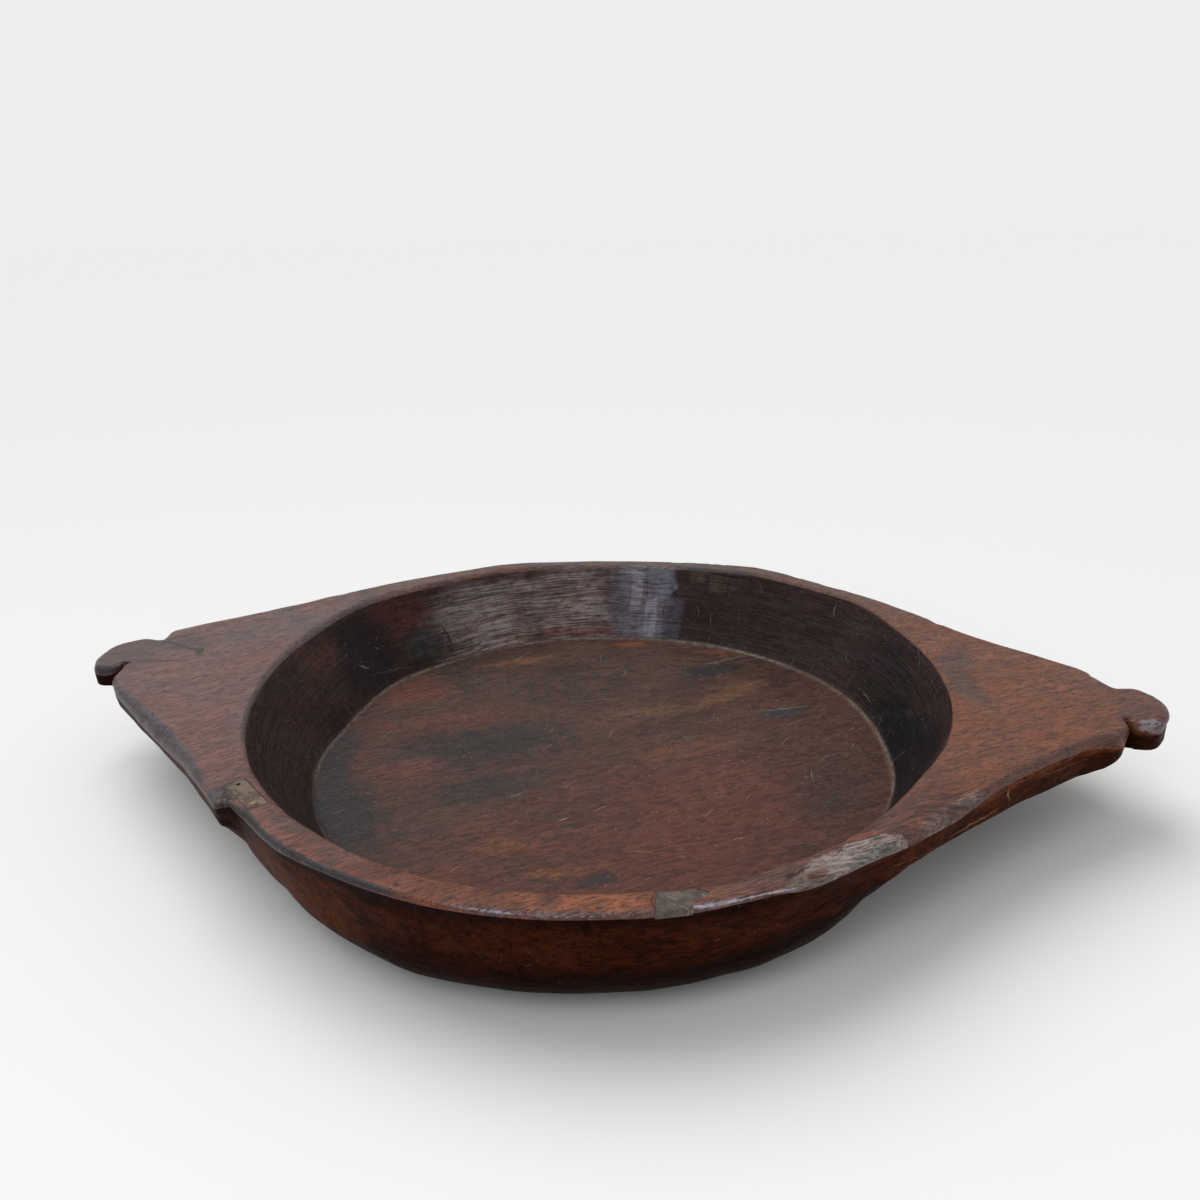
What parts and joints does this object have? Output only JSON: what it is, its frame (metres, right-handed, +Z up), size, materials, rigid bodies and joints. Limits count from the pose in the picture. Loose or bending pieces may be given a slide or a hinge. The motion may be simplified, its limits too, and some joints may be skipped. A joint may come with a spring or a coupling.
{
  "type": "dough bowl",
  "caption": "Shallow round hardwood dough bowl carved from one block, with pointed handles ending in notched lobes and an inlaid brass repair plate on the rim.",
  "frame": {"origin": "on the bowl's own axis, in the plane of its standing face", "axes": "+X along the handles towards the handle at the right of the picture, +Y towards the back, +Z up"},
  "size_m": [0.696, 0.4713, 0.0738],
  "materials": {
    "carved_wood": "dark oiled and hand-worn hardwood, satin",
    "old_brass": "tarnished flat sheet brass",
    "nail_brass": "tarnished, head polished by wear",
    "grey_filler": "dull grey filler, scuffed and chipped"
  },
  "bodies": {
    "root": {"bowl_body": "carved_wood", "repair_plate": "old_brass", "plate_nail": "nail_brass", "rim_fill": "grey_filler"}
  },
  "joints": []
}
